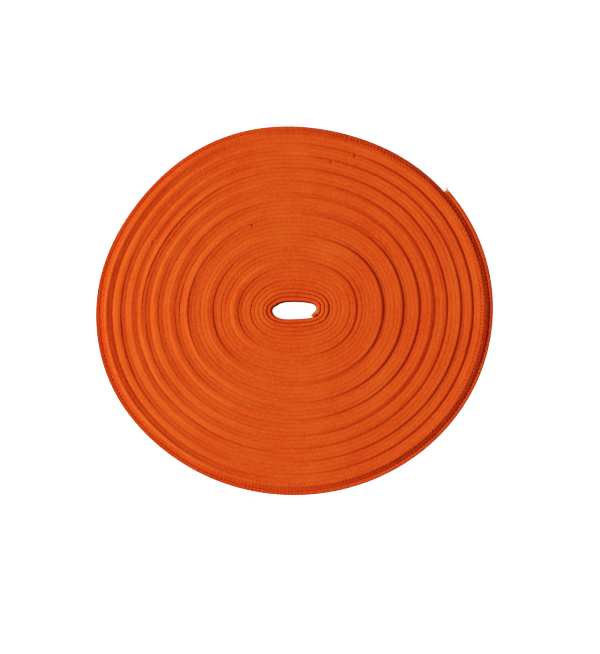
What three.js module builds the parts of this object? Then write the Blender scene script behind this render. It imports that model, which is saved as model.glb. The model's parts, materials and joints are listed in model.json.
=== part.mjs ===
// A length of flat woven drive belt, wound on itself into a flat coil with an open eye.
// Millimetres, +Z up. The belt stands on its edge, so the coil's axis is vertical.
// The origin is under the middle of the coil, on the surface that it lies on.
// The belt is one strip. It is drawn as bands of turns, which creep along the axis against
// each other, a free end of short lengths, which peels off the rim, and the end in the eye.

import * as THREE from 'three';

// The belt
const beltWidth = 25;
const beltThickness = 1.5;
const jointGap = 0.3; // room between two neighbouring lengths of the strip

// The winding: an oblong spiral, counter-clockwise from the eye out to the free end
const wrapPitch = 1.57; // a thickness and the air between two wraps
const facetsPerTurn = 24;
const woundTurns = 42.125;
const startAngle = THREE.MathUtils.degToRad(-6);
const eyeReach = 2.5; // from the middle of the winding up to the first wrap's inner face
const eyeStretch = 5.6; // what the eye is longer than that, each way along X
const rimStretch = 4.6; // the same for the outermost wrap
const eyeShift = 0.8; // how far the eye lies to the +X side
const eyeSquareness = 0.6; // how much fuller than an ellipse the eye's corners are; 0 at the rim

// Where the rim lies flatter, or fuller, than an ellipse. The depths fade out towards the eye
const rimSpots = [
  { angle: 75, spread: 24, depth: 1.05 },
  { angle: 145, spread: 27, depth: 1.9 },
  { angle: 206, spread: 18, depth: -0.55 },
];

// The same for the eye. These fade out over its own turns
const eyeSpots = [
  { angle: 145, spread: 24, depth: 0.9 },
  { angle: 245, spread: 22, depth: -0.5 },
];
const eyeSpotTurns = 14;

// Bands of turns: the turn at which each one ends
const bandEnds = [5, 10, 16, 21, 25, 28, 32, 35, 38];
const freeEndTurns = 0.5;

// How far the wraps have crept up: a slow rise to each crest, then a short fall
const crestTurns = [2.1, 8.9, 15.3, 20.2, 24.2, 27.7, 30.9, 33.9, 36.9, 39.75];
const innerCrestHeight = 0.6;
const crestHeight = 1.2;
const lastCrestHeight = 1.7;
const fallTurns = 0.7;
const rimRiseStart = 41.25; // the outermost wrap stands a little proud again
const rimRiseEnd = 41.9;
const rimHeight = 0.5;

// The end of the belt in the eye, bent in from the first wrap
const tabLength = 2.6;
const tabAngle = THREE.MathUtils.degToRad(216);
const tabStart = 0.75; // from the bend to the first straight cloth

const clothMaterial = new THREE.MeshStandardMaterial({ color: 0xd8501a, roughness: 0.9, metalness: 0 });
const tabMaterial = new THREE.MeshStandardMaterial({ color: 0xc44415, roughness: 0.95, metalness: 0 });

function heightOfCrest(index) {
  if (index === 0) return innerCrestHeight;
  return index === crestTurns.length - 1 ? lastCrestHeight : crestHeight;
}

// How far the belt's lower edge is above the surface at this turn
function lift(turn) {
  let foot = 0;
  for (let index = 0; index < crestTurns.length; index += 1) {
    const crest = crestTurns[index];
    const height = heightOfCrest(index);
    if (turn < crest) return (height * (turn - foot)) / (crest - foot);
    foot = crest + fallTurns;
    if (turn < foot) return height * (1 - THREE.MathUtils.smoothstep(turn, crest, foot));
  }
  return rimHeight * THREE.MathUtils.smoothstep(turn, rimRiseStart, rimRiseEnd);
}

// How much nearer to the middle these spots bring a wrap at this angle
function flatness(spots, angle) {
  return spots.reduce((sum, spot) => {
    const degrees = THREE.MathUtils.radToDeg(angle) - spot.angle;
    const away = THREE.MathUtils.euclideanModulo(degrees + 180, 360) - 180;
    return sum + spot.depth * Math.exp(-((away / spot.spread) ** 2));
  }, 0);
}

// A point of the spiral in plan. depth is 0 on the strip's inner face and 1 on its outer one
function spiralPoint(turn, depth) {
  const angle = startAngle + 2 * Math.PI * turn;
  const outward = turn / woundTurns;
  const inward = Math.max(0, 1 - turn / eyeSpotTurns);
  const flat = outward * flatness(rimSpots, angle) + inward * flatness(eyeSpots, angle);
  const reach = eyeReach + wrapPitch * turn + beltThickness * depth - flat;
  const stretch = THREE.MathUtils.lerp(eyeStretch, rimStretch, outward);
  const shift = eyeShift * (1 - outward);
  const corner = eyeSquareness * (1 - outward) * Math.sin(angle) ** 2;
  const along = (reach + stretch * (1 + corner)) * Math.cos(angle);
  return new THREE.Vector2(shift + along, reach * Math.sin(angle));
}

// The same point, kept on the straight facet that holds it
function facetPoint(turn, depth) {
  const facet = Math.floor(turn * facetsPerTurn);
  const start = spiralPoint(facet / facetsPerTurn, depth);
  const end = spiralPoint((facet + 1) / facetsPerTurn, depth);
  return start.lerp(end, turn * facetsPerTurn - facet);
}

// Half of the gap between two lengths, in turns
function halfGap(turn) {
  const radius = spiralPoint(turn, 0.5).length();
  return jointGap / 2 / (2 * Math.PI * radius);
}

// The turns at which a length has a section: its two ends and every facet edge between them
function stations(fromTurn, toTurn) {
  const found = [fromTurn + halfGap(fromTurn)];
  const last = Math.round(toTurn * facetsPerTurn);
  for (let facet = Math.round(fromTurn * facetsPerTurn) + 1; facet < last; facet += 1) {
    found.push(facet / facetsPerTurn);
  }
  found.push(toTurn - halfGap(toTurn));
  return found;
}

// The four corners of the strip: inner and outer below, then outer and inner above
function section(turn) {
  const inner = facetPoint(turn, 0);
  const outer = facetPoint(turn, 1);
  const below = lift(turn);
  const above = below + beltWidth;
  return [inner.x, inner.y, below, outer.x, outer.y, below, outer.x, outer.y, above, inner.x, inner.y, above];
}

function stripGeometry(fromTurn, toTurn) {
  const turns = stations(fromTurn, toTurn);
  const corners = 4;
  const end = (turns.length - 1) * corners;
  const faces = [0, 1, 2, 0, 2, 3, end, end + 2, end + 1, end, end + 3, end + 2];
  for (let at = 0; at < end; at += corners) {
    for (let corner = 0; corner < corners; corner += 1) {
      const next = (corner + 1) % corners;
      faces.push(at + corner, at + corners + corner, at + corners + next);
      faces.push(at + corner, at + corners + next, at + next);
    }
  }
  const geometry = new THREE.BufferGeometry();
  geometry.setAttribute('position', new THREE.Float32BufferAttribute(turns.flatMap(section), 3));
  geometry.setIndex(faces);
  return geometry;
}

function makeLength(name, fromTurn, toTurn) {
  const mesh = new THREE.Mesh(stripGeometry(fromTurn, toTurn), clothMaterial);
  mesh.name = name;
  return mesh;
}

function twoDigits(number) {
  return String(number).padStart(2, '0');
}

// Bands of whole turns, from the eye outwards. The last one ends where the free end starts
function makeBands(rootTurn) {
  const ends = [...bandEnds, rootTurn];
  return ends.map((toTurn, index) => {
    const fromTurn = index === 0 ? 0 : ends[index - 1];
    const name = `turns_${twoDigits(fromTurn + 1)}_to_${twoDigits(Math.ceil(toTurn))}`;
    return makeLength(name, fromTurn, toTurn);
  });
}

// One facet of the outermost wrap for each length, from where it leaves the coil to its cut end
function makeFreeEnd(rootTurn) {
  const lengths = Math.round(freeEndTurns * facetsPerTurn);
  return Array.from({ length: lengths }, (_, index) => {
    const fromTurn = rootTurn + index / facetsPerTurn;
    return makeLength(`free_end_${twoDigits(index + 1)}`, fromTurn, fromTurn + 1 / facetsPerTurn);
  });
}

// The cut end in the eye, a straight piece of the strip that points inwards
function makeTab() {
  const bend = spiralPoint(0, 0.5);
  const middle = tabStart + tabLength / 2;
  const mesh = new THREE.Mesh(new THREE.BoxGeometry(tabLength, beltThickness, beltWidth), tabMaterial);
  mesh.name = 'inner_end_tab';
  mesh.position.set(
    bend.x + middle * Math.cos(tabAngle),
    bend.y + middle * Math.sin(tabAngle),
    lift(0) + beltWidth / 2,
  );
  mesh.rotation.z = tabAngle;
  return mesh;
}

function makeCoil() {
  const coil = new THREE.Group();
  const rootTurn = woundTurns - freeEndTurns;
  coil.add(makeTab(), ...makeBands(rootTurn), ...makeFreeEnd(rootTurn));
  coil.updateMatrixWorld(true);
  const middle = new THREE.Box3().setFromObject(coil).getCenter(new THREE.Vector3());
  coil.position.set(-middle.x, -middle.y, 0);
  return coil;
}

export default makeCoil();
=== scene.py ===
import json
import math

import bmesh
import bpy
import numpy as np
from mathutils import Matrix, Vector


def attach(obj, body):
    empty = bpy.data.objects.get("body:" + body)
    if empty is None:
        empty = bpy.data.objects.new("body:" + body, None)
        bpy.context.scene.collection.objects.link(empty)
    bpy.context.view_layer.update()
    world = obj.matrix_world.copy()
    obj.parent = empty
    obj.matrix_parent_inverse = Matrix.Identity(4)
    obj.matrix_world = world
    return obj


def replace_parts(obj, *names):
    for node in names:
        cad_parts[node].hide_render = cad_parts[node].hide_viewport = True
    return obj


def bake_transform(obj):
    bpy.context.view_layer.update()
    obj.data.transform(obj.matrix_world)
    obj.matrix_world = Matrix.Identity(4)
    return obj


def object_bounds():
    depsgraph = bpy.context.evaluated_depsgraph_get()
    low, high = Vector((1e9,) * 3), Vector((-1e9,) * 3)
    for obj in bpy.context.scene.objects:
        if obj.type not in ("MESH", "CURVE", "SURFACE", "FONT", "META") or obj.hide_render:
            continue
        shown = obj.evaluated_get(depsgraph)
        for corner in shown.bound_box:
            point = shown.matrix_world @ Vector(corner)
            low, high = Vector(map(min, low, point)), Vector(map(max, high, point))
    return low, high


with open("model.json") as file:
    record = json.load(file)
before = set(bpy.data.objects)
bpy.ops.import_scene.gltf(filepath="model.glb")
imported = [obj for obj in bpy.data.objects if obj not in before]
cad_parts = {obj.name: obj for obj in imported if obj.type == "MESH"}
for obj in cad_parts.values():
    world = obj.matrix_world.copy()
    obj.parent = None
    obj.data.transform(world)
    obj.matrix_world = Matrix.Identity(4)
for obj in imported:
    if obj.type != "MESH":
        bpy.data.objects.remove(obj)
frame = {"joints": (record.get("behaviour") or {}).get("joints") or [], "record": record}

# A woven belt wound into a coil. Metres throughout. The strip is described by how far along
# it a point is, counted from where the first wrap starts in the eye.

cadLow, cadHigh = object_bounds()


joints = {joint["name"]: joint for joint in frame["joints"]}
print("stage: frame loaded")

winding = {
    "pitch": 0.00157,  # from one wrap to the next
    "turns": 42.125,
    "freeTurns": 0.5,  # the outer length that peels off
    "facets": 24,  # CAD facets in a turn
    "startAngle": math.radians(-6),
    "eyeReach": 0.0025,
    "eyeStretch": 0.0056,
    "rimStretch": 0.0046,
    "eyeShift": 0.0008,
    "eyeSquareness": 0.6,
    # where the rim and the eye are flatter, or fuller: angle and spread in degrees, and depth
    "rimSpots": [(75, 24, 0.00105), (145, 27, 0.0019), (206, 18, -0.00055)],
    "eyeSpots": [(145, 24, 0.0009), (245, 22, -0.0005)],
    "eyeSpotTurns": 14,  # the turns over which the eye's spots fade out
    "bands": [5, 10, 16, 21, 25, 28, 32, 35, 38],  # turns where the bands of wraps end
}

belt = {
    "width": 0.025,
    "thickness": 0.0015,
    "clearance": 0.00001,  # air left between two wraps, which soft cloth fills
    "flare": 0.00014,  # how much further in the belt's lower edge lies than its upper one
    "step": 0.0003,  # spacing of sections
    # half of the rounded edge: depth, how far it drops, and how far the ribs reach there
    "rounding": [(0, 0.00018, 0.4), (0.05, 0.00007, 0.8), (0.18, 0.00002, 1)],
    "plainRows": (0.0013, 0.0034),  # rows of points in from each edge, on faces that don't show
    "fineRow": 0.0011,  # the first row in, on faces that do
}

ribs = {
    "pick": 0.0012,  # one rib of weft along the edge
    "crown": 1.6,  # above 1 the crowns are broad and the grooves between them narrow
    "edgeDepth": 0.00005,
    "edgeSlant": 0.45,  # how far a rib leans across the edge, in ribs
    "edgeSways": [(0.3, 0.004, 21), (0.15, 0.0015, 22)],  # in ribs, the span of each, its seed
    "edgeShade": 0.1,  # painted shade in the grooves on the edges
    "rimStart": 40.4,  # turn past which the outermost wraps have their deeper strokes
    "rimBlend": 0.8,  # turns in which they come up
    "rimPick": 0.00135,
    "rimDepth": 0.00045,
    "rimSlant": -1.3,
    "rimShade": 0.5,  # how much more painted shade the grooves get there
    "faceDepth": 0.00011,
    "faceSlant": 1.3,  # how far a rib leans over one leg of the herringbone, in ribs
    "column": 0.003125,  # width of one leg
    "seamDepth": 0.5,  # the line where two legs meet
    "seamWidth": 0.1,
    "faceSway": (0.1, 0.004, 21),
    # painted shade in the grooves of the herringbone faces
    "faceShade": 0.6,
}

pulls = {
    "places": [(19.33, 0.85), (33.44, 0.25), (34.23, 0.59), (37.21, 0.43)],  # turn and depth
    "reach": 0.00045,
}

creep = {
    # turn of each crest, its height, and how far in turns and towards what angle it strays
    "crests": [(2.1, 0.0003, 0, 0), (8.9, 0.0006, 0, 0), (15.3, 0.0006, 0, 0), (20.2, 0.0006, 0.3, 85),
               (24.2, 0.0006, 0.3, 90), (27.7, 0.0006, 0.2, 90), (30.9, 0.0006, 0.3, 90),
               (33.9, 0.0006, 0.5, 20), (36.9, 0.0006, 0.25, 20), (39.75, 0.0010, 0.35, 20)],
    "fall": (0.6, 1.4),  # turns from a crest down to the next low wrap, on the +X and the -X side
    "lastFall": (2.0, 1.2),
    "shortRise": 1.8,  # turns up to a crest on the -X side; on the +X side it starts at the last foot
    "lean": 0.85,  # 1 makes the tops of neighbouring wraps one slope, 0 makes each one level
    "rimStart": 41.55,
    "rimEnd": 42.05,
    "rimHeight": 0.0003,
    "wanders": [(0.00014, 0.045, 11), (0.00004, 0.006, 12)],  # uneven wraps: height, span, seed
    "fuzz": (0.000035, 0.0004, 31),  # single yarns that stand up
    "fuzzStray": 7.3,  # keeps the fuzz on one side of the edge unlike that on the other
}

corners = {
    "looseness": 2.4,  # how much more the corners drop away where the wraps lie loosely
    "eyeTurns": (1.8, 2.6),  # they close up past the wraps round the eye
    "closeTurns": (3, 7),  # and again past these
    "closeness": 0.6,
    "rimTurns": (40.7, 41.3),  # and stand apart again at the rim
    "rimShare": 0.5,
    "shaded": (0.0001, 0.0006),  # drops at which the corner's shade starts and is full
}


def ease(value, low, high):
    share = np.clip((value - low) / (high - low), 0, 1)
    return share * share * (3 - 2 * share)


def ramp(value, low, high):
    return np.clip((value - low) / (high - low), 0, 1)


def angleAt(turn):
    return winding["startAngle"] + 2 * math.pi * turn


def flatness(spots, angle):
    flat = 0
    for middle, spread, depth in spots:
        away = (np.degrees(angle) - middle + 180) % 360 - 180
        flat = flat + depth * np.exp(-((away / spread) ** 2))
    return flat


def rawSpiral(turn, depth):
    # depth is 0 on the inner face of the strip and 1 on the outer one
    angle = angleAt(turn)
    outward = turn / winding["turns"]
    inward = np.maximum(0, 1 - turn / winding["eyeSpotTurns"])
    flat = outward * flatness(winding["rimSpots"], angle) + inward * flatness(winding["eyeSpots"], angle)
    reach = winding["eyeReach"] + winding["pitch"] * turn + belt["thickness"] * depth - flat
    stretch = winding["eyeStretch"] + (winding["rimStretch"] - winding["eyeStretch"]) * outward
    corner = winding["eyeSquareness"] * (1 - outward) * np.sin(angle) ** 2
    x = winding["eyeShift"] * (1 - outward) + (reach + stretch * (1 + corner)) * np.cos(angle)
    return x, reach * np.sin(angle)


bendPlace = Vector(joints["tab_bend"]["pos_m"])  # the first point of the first wrap
bendX, bendY = rawSpiral(0.0, 0.5)
middleX, middleY = bendPlace.x - bendX, bendPlace.y - bendY


def spiral(turn, depth):
    x, y = rawSpiral(turn, depth)
    return x + middleX, y + middleY


# How far along the belt each turn is, in steps of well under a millimetre
tableSteps = 80000
turnTable = np.linspace(0, winding["turns"], tableSteps + 1)
tableX, tableY = spiral(turnTable, 0.5)
alongTable = np.concatenate([[0], np.cumsum(np.hypot(np.diff(tableX), np.diff(tableY)))])
beltLength = float(alongTable[-1])


def alongAt(turn):
    return float(np.interp(turn, turnTable, alongTable))


def turnAt(along):
    return np.interp(along, alongTable, turnTable)


def drift(along, span, seed):
    # smooth chance values from -1 to 1, a new one every span
    count = 4096
    values = np.random.default_rng(seed).uniform(-1, 1, count)
    at = along / span % (count - 1)
    low = np.floor(at).astype(int)
    share = at - low
    share = share * share * (3 - 2 * share)
    return values[low] * (1 - share) + values[low + 1] * share


def relief(turn, angle):
    # a slow rise to each crest, then a short fall
    height = np.zeros_like(turn)
    foot = np.zeros_like(turn)
    side = 0.5 - 0.5 * np.cos(angle)  # 0 on the +X side and 1 on the -X side
    for middle, tall, stray, towards in creep["crests"]:
        crest = middle + stray * np.cos(angle - math.radians(towards))
        right, left = creep["lastFall" if middle == creep["crests"][-1][0] else "fall"]
        foot += np.maximum(crest - creep["shortRise"] - foot, 0) * side
        down = crest + right + (left - right) * side
        height += tall * (ramp(turn, foot, crest) - ease(turn, crest, down))
        foot = down
    return height + creep["rimHeight"] * ease(turn, creep["rimStart"], creep["rimEnd"])


littleTurn = 1e-4  # near enough for a tangent


def airOutside(turn):
    # from the outer face to the next wrap
    x, y = spiral(turn, 1.0)
    aheadX, aheadY = spiral(turn + littleTurn, 1.0)
    nextX, nextY = spiral(turn + 1, 0.0)
    tangentX, tangentY = aheadX - x, aheadY - y
    air = ((nextX - x) * tangentY - (nextY - y) * tangentX) / np.hypot(tangentX, tangentY)
    return np.where(turn + 1 <= winding["turns"], air, belt["clearance"])


def filled(turn, depth):
    # the cloth swells half way to its neighbours
    out = (airOutside(turn) - belt["clearance"]) / 2
    back = np.where(turn >= 1, (airOutside(turn - 1) - belt["clearance"]) / 2, 0)
    share = 2 * depth - 1
    return depth + (np.maximum(share, 0) * out + np.minimum(share, 0) * back) / belt["thickness"]


def lift(along, depth):
    # how far the lower edge of the belt is above the floor; the cloth leans with the relief
    turn = turnAt(along)
    height = relief(turn + creep["lean"] * (np.clip(depth, 0, 1) - 0.5), angleAt(turn))
    for tall, span, seed in creep["wanders"]:
        height += tall * (1 + drift(along, span, seed))
    return height


def tooth(phase):
    # 0 on the crown of a rib and 1 in the groove beside it
    return (0.5 - 0.5 * np.cos(2 * math.pi * phase)) ** ribs["crown"]


def between(low, high, share):
    return low + (high - low) * share


def edgeRibs(along, depth, rimShare):
    sway = sum(size * drift(along, span, seed) for size, span, seed in ribs["edgeSways"])
    slant = between(ribs["edgeSlant"], ribs["rimSlant"], rimShare)
    rimAlong = alongAt(ribs["rimStart"] - ribs["rimBlend"] / 2)
    picks = np.minimum(along, rimAlong) / ribs["pick"] + np.maximum(along - rimAlong, 0) / ribs["rimPick"]
    return tooth(picks + slant * (depth - 0.5) + sway * (1 - rimShare / 2))


def pulled(along, depth):
    # 1 in the middle of a pulled thread's pit, and 0 past its reach
    pit = np.zeros_like(along)
    for turn, middle in pulls["places"]:
        away = np.hypot(along - alongAt(turn), (depth - middle) * belt["thickness"])
        pit += np.exp(-((away / pulls["reach"]) ** 2))
    return pit


def faceRibs(along, height):
    leg = height / ribs["column"]
    fold = np.abs((leg + 1) % 2 - 1)  # to and fro across each pair of columns
    size, span, seed = ribs["faceSway"]
    sway = size * drift(along, span, seed)
    seam = ribs["seamDepth"] * np.exp(-((fold - np.round(fold)) / ribs["seamWidth"]) ** 2)
    return np.maximum(tooth(along / ribs["pick"] + ribs["faceSlant"] * fold + sway), seam)


def sectionOf(fineInner, fineOuter):
    # depth, height, how much the edge ribs move it up or down, how much the face ribs do
    half = belt["rounding"]
    rounding = [*half, (0.5, 0, 1), *[(1 - depth, drop, up) for depth, drop, up in half[::-1]]]
    width = belt["width"]
    near = belt["plainRows"]
    plainRows = [*near, width / 2, *[width - row for row in near[::-1]]]
    fineRows = list(np.arange(belt["fineRow"], width - belt["fineRow"], ribs["column"] / 4))
    below = [(depth, drop, -up, 0) for depth, drop, up in rounding]
    outer = [(1, row, 0, int(fineOuter)) for row in (fineRows if fineOuter else plainRows)]
    above = [(depth, width - drop, up, 0) for depth, drop, up in rounding[::-1]]
    inner = [(0, row, 0, -int(fineInner)) for row in (fineRows if fineInner else plainRows)[::-1]]
    middle = len(inner) // 2
    ring = inner[middle:] + below + outer + above + inner[:middle]
    return np.array(ring + ring[:1], float)


def spiralPlace(along, depth):
    return spiral(turnAt(along), depth)


def stripGrid(name, count, rounds):
    # a flat grid, with each point's share of its length and its row round the belt
    bm = bmesh.new()
    bmesh.ops.create_grid(bm, x_segments=count, y_segments=rounds, size=1)
    mesh = bpy.data.meshes.new(name)
    bm.to_mesh(mesh)
    bm.free()
    spots = np.empty(len(mesh.vertices) * 3)
    mesh.vertices.foreach_get("co", spots)
    spots = (spots.reshape(-1, 3) + 1) / 2
    return mesh, spots[:, 0], np.round(spots[:, 1] * rounds).astype(int)


def looseness(turn, rimShare):
    # the corners drop away more round the eye and at the rim
    loose = 1 - ease(turn, *corners["eyeTurns"]) + corners["rimShare"] * ease(turn, *corners["rimTurns"])
    close = corners["closeness"] * ease(turn, *corners["closeTurns"]) * (1 - rimShare)
    return corners["looseness"] * loose - close


def mapBelt(mesh, along, across):
    # centimetres along the belt and round its section
    vertex = np.empty(len(mesh.loops), int)
    mesh.loops.foreach_get("vertex_index", vertex)
    uv = np.stack([along[vertex], across[vertex]], 1) * 100
    beltMap = mesh.uv_layers.new(name="beltMap")
    beltMap.uv.foreach_set("vector", uv.ravel())


def makeStrip(name, start, end, section, step, place=spiralPlace):
    # a grid, bent round into a tube of the belt's section and laid along its route
    mesh, share, row = stripGrid(name, max(3, round((end - start) / step)), len(section) - 1)
    along = between(start, end, share)
    depth, height, up, out = section[row].T
    turn = turnAt(along)
    rimShare = ease(turn, ribs["rimStart"] - ribs["rimBlend"], ribs["rimStart"])
    edge = edgeRibs(along, depth, rimShare)
    face = faceRibs(along, height)
    pit = pulled(along, depth) * np.maximum(up, 0)
    drop = np.where(up == 0, 0, np.minimum(height, belt["width"] - height))
    loose = looseness(turn, rimShare)
    fuzzHeight, fuzzSpan, fuzzSeed = creep["fuzz"]
    fuzz = fuzzHeight * drift(along + depth * creep["fuzzStray"], fuzzSpan, fuzzSeed)
    flare = belt["flare"] * ((height / belt["width"]) ** 2 - 1)
    moved = filled(turn, depth) + (flare - out * face * ribs["faceDepth"]) / belt["thickness"]
    x, y = place(along, moved)
    z = lift(along, depth) + height - np.sign(up) * drop * loose
    z += np.abs(up) * fuzz - up * edge * between(ribs["edgeDepth"], ribs["rimDepth"], rimShare)
    z -= pit * pulls["reach"]
    mesh.vertices.foreach_set("co", np.stack([x, y, z], 1).ravel())
    # painted shade for the colour: each point is darker the further it lies in a rib groove, in a dropped
    # corner and in a pulled thread's pit
    ribShade = ribs["edgeShade"] + ribs["rimShade"] * rimShare
    grooveDarkening = np.where(up == 0, ribs["faceShade"] * face * np.abs(out), edge * ribShade)
    cornerShade = ramp(drop * (1 + loose), *corners["shaded"])
    grooveShade = 1 - (1 - grooveDarkening) * (1 - cornerShade) * (1 - np.minimum(pit, 1))
    mesh.attributes.new("grooveShade", "FLOAT", "POINT").data.foreach_set("value", grooveShade)
    sides = np.hypot(np.diff(section[:, 0]) * belt["thickness"], np.diff(section[:, 1]))
    mapBelt(mesh, along, np.concatenate([[0], np.cumsum(sides)])[row])
    return finishMesh(name, mesh)


def finishMesh(name, mesh):
    # close the seam and the two ends, smooth the cloth and keep the end faces flat
    bm = bmesh.new()
    bm.from_mesh(mesh)
    bmesh.ops.remove_doubles(bm, verts=bm.verts, dist=1e-7)
    ends = [edge for edge in bm.edges if edge.is_boundary]
    caps = set(bmesh.ops.holes_fill(bm, edges=ends, sides=0)["faces"])
    for face in bm.faces:
        face.smooth = face not in caps
    bm.to_mesh(mesh)
    bm.free()
    piece = bpy.data.objects.new(name, mesh)
    bpy.context.scene.collection.objects.link(piece)
    return piece


def pointAt(along):
    x, y = spiralPlace(np.array([along]), 0.5)
    return Vector((float(x[0]), float(y[0]), belt["width"] / 2))


def newGroup(name, inputs, outputs):
    group = bpy.data.node_groups.new(name, "ShaderNodeTree")
    for label, kind, value in inputs:
        socket = group.interface.new_socket(label, in_out="INPUT", socket_type=kind)
        if value is not None:
            socket.default_value = value
    for label, kind in outputs:
        group.interface.new_socket(label, in_out="OUTPUT", socket_type=kind)
    return group, group.nodes.new("NodeGroupInput"), group.nodes.new("NodeGroupOutput")


def maths(tree, operation, first, second=None, third=None):
    node = tree.nodes.new("ShaderNodeMath")
    node.operation = operation
    for at, value in enumerate((first, second, third)):
        if value is None:
            continue
        if isinstance(value, (int, float)):
            node.inputs[at].default_value = value
        else:
            tree.links.new(value, node.inputs[at])
    return node.outputs[0]


def noise(tree, vector, scale, detail=2.0, roughness=0.5):
    node = tree.nodes.new("ShaderNodeTexNoise")
    node.inputs["Detail"].default_value = detail
    node.inputs["Roughness"].default_value = roughness
    tree.links.new(vector, node.inputs["Vector"])
    if isinstance(scale, (int, float)):
        node.inputs["Scale"].default_value = scale
    else:
        tree.links.new(scale, node.inputs["Scale"])
    return node.outputs["Fac"]


def mixColours(tree, share, first, second):
    node = tree.nodes.new("ShaderNodeMix")
    node.data_type = "RGBA"
    for socket, value in ((node.inputs[0], share), (node.inputs[6], first), (node.inputs[7], second)):
        if isinstance(value, (int, float, tuple)):
            socket.default_value = value
        else:
            tree.links.new(value, socket)
    return node.outputs[2]


yarn = {
    "stretch": (30, 8, 30),  # strokes of fibre, drawn out across the belt
    "strokeRoughness": 0.6,
    "coarse": 900.0,
    "fine": 3600.0,
    "shares": (0.4, 0.35, 0.25),  # strokes, coarse noise and fine noise
    "speckle": (3.6, -1.3),  # the height's contrast and its shift
    "twists": 24.0,  # in a centimetre
    "twistLean": 0.6,
    "waver": 9.0,
    "waverSize": 0.03,
}


def makeFibreGroup():
    # hairs and slubs in the yarn: a height and a speckle
    group, given, sent = newGroup(
        "Yarn fibres",
        [("Vector", "NodeSocketVector", None), ("Belt map", "NodeSocketVector", None),
         ("Fineness", "NodeSocketFloat", 1.0)],
        [("Height", "NodeSocketFloat"), ("Speckle", "NodeSocketFloat")],
    )
    fineness = given.outputs["Fineness"]
    strokeShare, coarseShare, fineShare = yarn["shares"]
    stretched = group.nodes.new("ShaderNodeVectorMath")
    stretched.operation = "MULTIPLY"
    stretched.inputs[1].default_value = yarn["stretch"]
    group.links.new(given.outputs["Belt map"], stretched.inputs[0])
    strokes = noise(group, stretched.outputs[0], fineness, roughness=yarn["strokeRoughness"])
    coarse = noise(group, given.outputs["Vector"], maths(group, "MULTIPLY", fineness, yarn["coarse"]))
    fine = noise(group, given.outputs["Vector"], maths(group, "MULTIPLY", fineness, yarn["fine"]))
    coarse = maths(group, "MULTIPLY", coarse, coarseShare)
    height = maths(group, "MULTIPLY_ADD", strokes, strokeShare, coarse)
    height = maths(group, "MULTIPLY_ADD", fine, fineShare, height)
    group.links.new(height, sent.inputs["Height"])
    group.links.new(maths(group, "MULTIPLY_ADD", height, *yarn["speckle"]), sent.inputs["Speckle"])
    return group


def makeTwistGroup():
    # the yarns' own twist, finer than a rib and leaning against it
    group, given, sent = newGroup(
        "Yarn twist",
        [("Belt map", "NodeSocketVector", None), ("Twists per cm", "NodeSocketFloat", yarn["twists"])],
        [("Height", "NodeSocketFloat")],
    )
    split = group.nodes.new("ShaderNodeSeparateXYZ")
    group.links.new(given.outputs["Belt map"], split.inputs[0])
    lean = maths(group, "MULTIPLY_ADD", split.outputs["Y"], yarn["twistLean"], split.outputs["X"])
    waver = noise(group, given.outputs["Belt map"], yarn["waver"], 1.0)
    place = maths(group, "MULTIPLY_ADD", waver, yarn["waverSize"], lean)
    turns = maths(group, "MULTIPLY", given.outputs["Twists per cm"], 2 * math.pi)
    wave = maths(group, "SINE", maths(group, "MULTIPLY", place, turns))
    group.links.new(maths(group, "MULTIPLY_ADD", wave, 0.5, 0.5), sent.inputs["Height"])
    return group


dye = {
    "patches": 55.0,  # noise through the whole coil
    "wraps": 0.9,  # noise along the belt
    "wrapRoughness": 0.6,
    "contrast": (3.0, -1.0),
    "speckle": 0.55,
    # how far the painted groove shade darkens the colour
    "grooves": 0.7,
}


def makeTintAndShadeGroup():
    # dye that took unevenly: light and dark patches along the belt; and painted shade in the grooves, mixed
    # towards a shadow colour
    group, given, sent = newGroup(
        "Cloth tint and groove shade",
        [("Vector", "NodeSocketVector", None), ("Belt map", "NodeSocketVector", None),
         ("Groove shade", "NodeSocketFloat", 0.0), ("Speckle", "NodeSocketFloat", 0.5),
         ("Light", "NodeSocketColor", (1, 1, 1, 1)), ("Body", "NodeSocketColor", (1, 1, 1, 1)),
         ("Shadow", "NodeSocketColor", (1, 1, 1, 1)), ("Unevenness", "NodeSocketFloat", 0.5)],
        [("Colour", "NodeSocketColor")],
    )
    light, body, shadow = (given.outputs[label] for label in ("Light", "Body", "Shadow"))
    patches = noise(group, given.outputs["Vector"], dye["patches"], 3.0)
    wraps = noise(group, given.outputs["Belt map"], dye["wraps"], 3.0, dye["wrapRoughness"])
    mixed = maths(group, "MULTIPLY", maths(group, "ADD", patches, wraps), 0.5)
    mixed = maths(group, "MULTIPLY_ADD", mixed, *dye["contrast"])
    uneven = maths(group, "MULTIPLY", mixed, given.outputs["Unevenness"])
    lit = mixColours(group, maths(group, "MAXIMUM", uneven, 0.0), body, light)
    speckle = maths(group, "MULTIPLY", given.outputs["Speckle"], dye["speckle"])
    speckled = mixColours(group, speckle, lit, light)
    # painted shade: the groove mask mixes the colour towards the shadow colour
    grooveShade = maths(group, "MULTIPLY", given.outputs["Groove shade"], dye["grooves"])
    group.links.new(mixColours(group, grooveShade, speckled, shadow), sent.inputs["Colour"])
    return group


fibreGroup, twistGroup, tintAndShadeGroup = makeFibreGroup(), makeTwistGroup(), makeTintAndShadeGroup()

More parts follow.
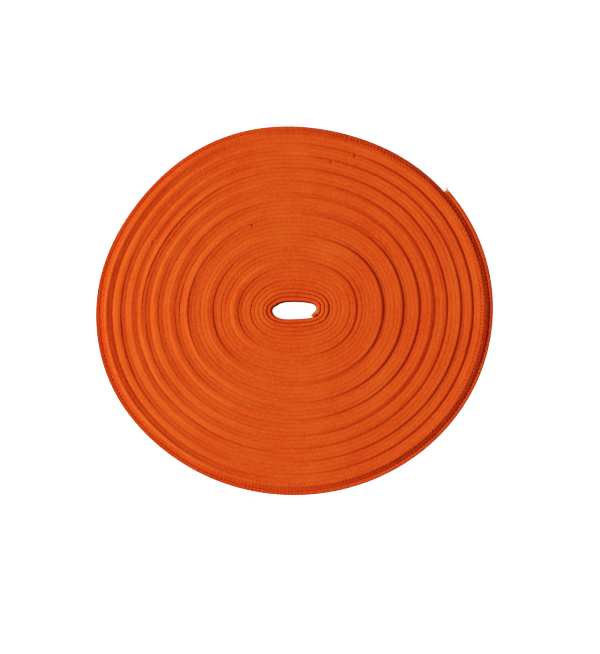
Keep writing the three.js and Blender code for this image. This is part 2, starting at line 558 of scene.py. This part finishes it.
orangeCloth = {
    "light": (0.92, 0.19, 0.042, 1),
    "body": (0.715, 0.083, 0.0155, 1),
    # the colour of the painted shade in grooves, dropped corners and pits
    "shadow": (0.42, 0.022, 0.005, 1),
    "unevenness": 0.5,
    "roughness": 0.86,
    "roughnessSpread": 0.16,
    "specular": 0.1,
    "sheen": 0.02,
    "sheenRoughness": 0.45,
    "sheenTint": (1.0, 0.45, 0.2, 1),
    "fibreBump": 0.00006,
    "twistBump": 0.00004,
}
cutCloth = {
    **orangeCloth,
    "light": (0.95, 0.30, 0.08, 1),
    "body": (0.66, 0.075, 0.010, 1),
    "fibreBump": 0.00015,
}


def bumped(tree, height, distance, under=None):
    node = tree.nodes.new("ShaderNodeBump")
    node.inputs["Strength"].default_value = 1.0
    node.inputs["Distance"].default_value = distance
    tree.links.new(height, node.inputs["Height"])
    if under:
        tree.links.new(under, node.inputs["Normal"])
    return node.outputs[0]


def clothMaterial(name, look):
    material = bpy.data.materials.new(name)
    material.use_nodes = True
    tree = material.node_tree
    shader = tree.nodes["Principled BSDF"]
    place = tree.nodes.new("ShaderNodeTexCoord").outputs["Object"]
    beltMap = tree.nodes.new("ShaderNodeUVMap")
    beltMap.uv_map = "beltMap"
    # the painted shade mask laid on the belt's points
    grooveShade = tree.nodes.new("ShaderNodeAttribute")
    grooveShade.attribute_name = "grooveShade"
    fibres, twist, tintAndShade = (tree.nodes.new("ShaderNodeGroup") for _ in range(3))
    fibres.node_tree, twist.node_tree, tintAndShade.node_tree = fibreGroup, twistGroup, tintAndShadeGroup
    for source, target in (
        (place, fibres.inputs["Vector"]), (beltMap.outputs[0], fibres.inputs["Belt map"]),
        (beltMap.outputs[0], twist.inputs["Belt map"]),
        (place, tintAndShade.inputs["Vector"]), (beltMap.outputs[0], tintAndShade.inputs["Belt map"]),
        (grooveShade.outputs["Fac"], tintAndShade.inputs["Groove shade"]), (fibres.outputs["Speckle"], tintAndShade.inputs["Speckle"]),
        (tintAndShade.outputs["Colour"], shader.inputs["Base Color"]),
    ):
        tree.links.new(source, target)
    for label in ("Light", "Body", "Shadow", "Unevenness"):
        tintAndShade.inputs[label].default_value = look[label.lower()]
    spread = look["roughnessSpread"]
    rough = maths(tree, "MULTIPLY_ADD", fibres.outputs["Height"], spread, look["roughness"] - spread / 2)
    tree.links.new(rough, shader.inputs["Roughness"])
    twisted = bumped(tree, twist.outputs["Height"], look["twistBump"])
    hairy = bumped(tree, fibres.outputs["Height"], look["fibreBump"], twisted)
    tree.links.new(hairy, shader.inputs["Normal"])
    shader.inputs["Sheen Weight"].default_value = look["sheen"]
    shader.inputs["Sheen Roughness"].default_value = look["sheenRoughness"]
    shader.inputs["Sheen Tint"].default_value = look["sheenTint"]
    shader.inputs["Specular IOR Level"].default_value = look["specular"]
    return material


wovenMaterial = clothMaterial("Orange woven cloth", orangeCloth)
cutMaterial = clothMaterial("Cut orange cloth", cutCloth)
print("stage: materials made")


def dress(piece, material):
    piece.data.materials.append(material)
    return piece


bodies = frame["record"]["behaviour"]["bodies"]
bodyOfNode = {node: body for body, nodes in bodies.items() for node in nodes}
rootTurn = winding["turns"] - winding["freeTurns"]
bandEnds = [*winding["bands"], rootTurn]
bandSpans = list(zip([0, *winding["bands"]], bandEnds))
bandNodes = [f"turns_{low + 1:02d}_to_{math.ceil(high):02d}" for low, high in bandSpans]

plainSection = sectionOf(False, False)
outerSection = sectionOf(False, True)
eyeSection = sectionOf(True, False)
crossTurns = 0.5  # the last half turn of a band bends over to the next band
eyeTurns = 1.25  # wraps whose inner face shows in the eye
rimTurns = 1.5  # wraps whose outer face can show
halfFacet = 0.5 / winding["facets"]


def addRiding(name, fromTurn, toTurn, section, step, body):
    piece = makeStrip(name, alongAt(fromTurn), alongAt(toTurn), section, step)
    dress(piece, wovenMaterial)
    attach(piece, body)
    return piece


def addBending(name, fromTurn, toTurn, section, step):
    start, end = alongAt(fromTurn), alongAt(toTurn)
    piece = makeStrip(name, start, end, section, step)
    dress(piece, wovenMaterial)
    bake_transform(piece)
    return piece


for index, node in enumerate(bandNodes):
    body = bodyOfNode[node]
    fromTurn = bandSpans[index][0]
    isLast = index == len(bandNodes) - 1
    toTurn = rootTurn - halfFacet if isLast else bandEnds[index] - crossTurns
    if index == 0:
        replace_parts(addRiding("eye_wrap_cloth", 0, eyeTurns, eyeSection, belt["step"], body), node)
        fromTurn = eyeTurns
    if isLast:
        rimStart = winding["turns"] - rimTurns
        rim = addRiding("rim_wrap_cloth", rimStart, toTurn, outerSection, belt["step"], body)
        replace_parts(rim, node)
        toTurn = rimStart
    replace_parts(addRiding(f"{node}_cloth", fromTurn, toTurn, plainSection, belt["step"], body), node)
    if not isLast:
        crossing = addBending(f"crossing_at_turn_{bandEnds[index]:02d}", toTurn, bandEnds[index],
                              plainSection, belt["step"])
        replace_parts(crossing, node)
print("stage: wraps wound")

freeCount = round(winding["freeTurns"] * winding["facets"])
freeNodes = [f"free_end_{count + 1:02d}" for count in range(freeCount)]
bodyBefore = bodyOfNode[bandNodes[-1]]
for count, node in enumerate(freeNodes):
    hingeTurn = rootTurn + count / winding["facets"]
    bent = addBending(f"{node}_cloth", hingeTurn - halfFacet, hingeTurn + halfFacet,
                      outerSection, belt["step"])
    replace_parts(bent, node)
    bodyBefore = bodyOfNode[node]
addRiding("free_end_tip_cloth", winding["turns"] - halfFacet, winding["turns"],
          outerSection, belt["step"], bodyBefore)
print("stage: free end made")

thread = {
    "radius": 0.00008,
    "bends": (0, 0.35, 0.7, 1),  # where along its length a thread has a point
}

freeFrays = {
    "count": 46,
    "lengths": (0.0004, 0.0011),
    "margin": 0.0006,  # from the edges of the belt
    "tuftCount": 9,  # the longer ones at the top of the cut
    "tuftLengths": (0.0012, 0.0018),
    "tuftDrops": (0.0002, 0.0014),
    "seed": 51,
    "heading": 0.0005,  # the stretch of belt behind the cut that they point along
    "rootDepth": 0.0003,  # how far inside the cloth they start
    "rootSpread": 0.4,  # in belt thicknesses, each way
    "aimOut": (-0.2, 0.5),
    "aimUp": (-0.4, 0.4),
    "curlOut": (-0.3, 0.5),
    "curlUp": (-0.5, 0.2),
}

innerFrays = {
    "count": 90,
    "seed": 52,
    "start": 0.0009,  # from the bend
    "heights": (0.001, 0.021),  # they end below the edge of the belt
    "rootDepth": 0.85,
    "reaches": (0.4, 0.6),  # longer further from the bend, where the corner is wider
    "drops": (-0.0008, 0.0008),
    "slides": (-0.0005, 0.0003),
}

upwards = Vector((0, 0, 1))


def addThreads(name, strands, body):
    # frayed yarns, drawn as a curve with round ends and then made a mesh
    curve = bpy.data.curves.new(name, "CURVE")
    curve.dimensions = "3D"
    curve.bevel_depth = thread["radius"]
    curve.bevel_resolution = 1
    curve.use_fill_caps = True
    for strand in strands:
        spline = curve.splines.new("POLY")
        spline.points.add(len(strand) - 1)
        for point, place in zip(spline.points, strand):
            point.co = (*place, 1)
    drawn = bpy.data.objects.new(name + "_curve", curve)
    bpy.context.scene.collection.objects.link(drawn)
    mesh = bpy.data.meshes.new_from_object(drawn.evaluated_get(bpy.context.evaluated_depsgraph_get()))
    bpy.data.objects.remove(drawn)
    piece = bpy.data.objects.new(name, mesh)
    bpy.context.scene.collection.objects.link(piece)
    dress(piece, cutMaterial)
    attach(piece, body)


def freeEndStrands():
    look = freeFrays
    chance = np.random.default_rng(look["seed"])
    cut = pointAt(beltLength)
    forwards = (cut - pointAt(beltLength - look["heading"])).normalized()
    outwards = forwards.cross(upwards)
    foot = float(lift(np.array([beltLength]), 0.5)[0])
    spread = look["rootSpread"] * belt["thickness"]
    strands = []
    for count in range(look["count"] + look["tuftCount"]):
        if count < look["count"]:
            length = chance.uniform(*look["lengths"])
            up = chance.uniform(look["margin"], belt["width"] - look["margin"])
        else:
            length = chance.uniform(*look["tuftLengths"])
            up = belt["width"] - chance.uniform(*look["tuftDrops"])
        root = cut - forwards * look["rootDepth"] + outwards * chance.uniform(-spread, spread)
        root.z = foot + up
        aim = outwards * chance.uniform(*look["aimOut"]) + upwards * chance.uniform(*look["aimUp"])
        curl = outwards * chance.uniform(*look["curlOut"]) + upwards * chance.uniform(*look["curlUp"])
        path = [share * (forwards + aim + curl * share) for share in thread["bends"]]
        strands.append([root + length * place for place in path])
    return strands


addThreads("free_end_frays", freeEndStrands(), bodyBefore)
print("stage: frays made")

# The end of the belt in the eye, bent in from the first wrap
tab = {
    "length": 0.0035,
    "bendRadius": 0.0011,
    "turnBack": math.radians(46),
    "thinFrom": 0.001,  # past here the cloth thins out towards the cut
    "thinning": 0.25,
    "step": 0.00025,
}


def tabPlace(along, depth):
    # along runs from minus the tab's length at the cut up to 0 at the first wrap
    gone = -along
    low, high = spiral(0.0, 0.0), spiral(0.0, 1.0)
    outX, outY = (high[0] - low[0]) / belt["thickness"], (high[1] - low[1]) / belt["thickness"]
    heading = math.atan2(-outX, outY)  # backwards along the belt
    angle = heading - np.clip(gone / tab["bendRadius"], 0, tab["turnBack"])
    bent = np.minimum(gone, tab["bendRadius"] * tab["turnBack"])
    turned = bent / tab["bendRadius"]
    sideways = tab["bendRadius"] * (1 - np.cos(turned))
    forwards = tab["bendRadius"] * np.sin(turned)
    straight = gone - bent
    x = bendPlace.x + forwards * math.cos(heading) + sideways * math.sin(heading)
    y = bendPlace.y + forwards * math.sin(heading) - sideways * math.cos(heading)
    x, y = x + straight * np.cos(angle), y + straight * np.sin(angle)
    thin = belt["thickness"] * (1 - tab["thinning"] * ramp(gone, tab["thinFrom"], tab["length"]))
    return x - np.sin(angle) * (depth - 0.5) * thin, y + np.cos(angle) * (depth - 0.5) * thin


tabSection = sectionOf(True, True)
tabPiece = makeStrip("inner_end_cloth", -tab["length"], 0, tabSection, tab["step"], tabPlace)
dress(tabPiece, cutMaterial)
tabBody = bodyOfNode["inner_end_tab"]
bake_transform(tabPiece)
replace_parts(tabPiece, "inner_end_tab")


def innerEndStrands():
    # loose threads from the back of the tab into the corner behind it
    look = innerFrays
    chance = np.random.default_rng(look["seed"])
    strands = []
    for _ in range(look["count"]):
        gone = chance.uniform(look["start"], tab["length"])
        up = chance.uniform(*look["heights"])
        reach = chance.uniform(*look["reaches"]) * gone
        drop = chance.uniform(*look["drops"])
        slide = chance.uniform(*look["slides"])
        strand = []
        for share in thread["bends"]:
            depth = np.array([look["rootDepth"] + share * reach / belt["thickness"]])
            x, y = tabPlace(np.array([-gone + slide * share]), depth)
            strand.append((float(x[0]), float(y[0]), up + drop * share * share))
        strands.append(strand)
    return strands


addThreads("inner_end_frays", innerEndStrands(), tabBody)
print("stage: inner end made")

stageLook = {
    "floorSize": 12,
    "floorGap": 0.0002,  # under the coil
    "floorColour": (0.85, 0.85, 0.85, 1),
    "floorRoughness": 0.9,
    "glow": 1.0,  # the floor and the room as the camera sees them
    "floorBounce": 0.25,  # and the light that they give
    "keyDistance": 1.1,
    "keyHeight": math.radians(35),
    "keySize": 0.45,
    "keyPower": 9.6,
    "fill": 0.22,
    "toneCurve": [(0.03, 0.018), (0.1, 0.11), (0.3, 0.44), (0.6, 0.76)],  # deep darks, soft lights
}

framing = {
    "wide": 600,
    "high": 654,
    "coilShare": 0.65967,  # how much of the image's width the coil takes
    "leftOfMiddle": 0.0090,  # where the coil's middle lies, in image sizes
    "aboveMiddle": 0.0246,
    "lens": 100,
}


def seenOrLit(tree, lit):
    # full white to the camera, and less to light the coil with
    seen = tree.nodes.new("ShaderNodeLightPath").outputs["Is Camera Ray"]
    return maths(tree, "MULTIPLY_ADD", seen, stageLook["glow"] - lit, lit)


def makeFloor():
    height = cadLow.z - stageLook["floorGap"]
    bpy.ops.mesh.primitive_plane_add(size=stageLook["floorSize"], location=(0, 0, height))
    floor = bpy.context.active_object
    floor.name = "floor"
    material = bpy.data.materials.new("Pale floor")
    material.use_nodes = True
    tree = material.node_tree
    shader = tree.nodes["Principled BSDF"]
    shader.inputs["Base Color"].default_value = stageLook["floorColour"]
    shader.inputs["Roughness"].default_value = stageLook["floorRoughness"]
    shader.inputs["Emission Color"].default_value = (1, 1, 1, 1)
    tree.links.new(seenOrLit(tree, stageLook["floorBounce"]), shader.inputs["Emission Strength"])
    floor.data.materials.append(material)


def makeLights():
    key = bpy.data.lights.new("key", "AREA")
    key.shape = "DISK"
    key.size = stageLook["keySize"]
    key.energy = stageLook["keyPower"]
    lamp = bpy.data.objects.new("key", key)
    height = stageLook["keyHeight"]
    towards = Vector((-math.cos(height), 0, math.sin(height)))
    lamp.location = towards * stageLook["keyDistance"]
    lamp.rotation_euler = towards.to_track_quat("Z", "Y").to_euler()
    bpy.context.scene.collection.objects.link(lamp)
    world = bpy.data.worlds.new("White room")
    bpy.context.scene.world = world
    world.use_nodes = True
    background = world.node_tree.nodes["Background"]
    background.inputs["Color"].default_value = (1, 1, 1, 1)
    strength = seenOrLit(world.node_tree, stageLook["fill"])
    world.node_tree.links.new(strength, background.inputs["Strength"])


def setTone():
    view = bpy.context.scene.view_settings
    view.view_transform = "Standard"
    view.use_curve_mapping = True
    for x, y in stageLook["toneCurve"]:
        view.curve_mapping.curves[3].points.new(x, y)
    view.curve_mapping.update()


def makeCamera():
    camera = bpy.data.cameras.new("camera")
    camera.lens = framing["lens"]
    shownWide = (cadHigh.x - cadLow.x) / framing["coilShare"]  # on a level with the coil's top
    shownHigh = shownWide * framing["high"] / framing["wide"]
    away = shownHigh * camera.lens / camera.sensor_width
    holder = bpy.data.objects.new("camera", camera)
    right, down = framing["leftOfMiddle"] * shownWide, framing["aboveMiddle"] * shownHigh
    holder.location = (right, -down, cadHigh.z + away)
    bpy.context.scene.collection.objects.link(holder)
    bpy.context.scene.camera = holder


makeFloor()
makeLights()
makeCamera()
setTone()
print(f"stage: ready, belt length {beltLength:.3f} m")

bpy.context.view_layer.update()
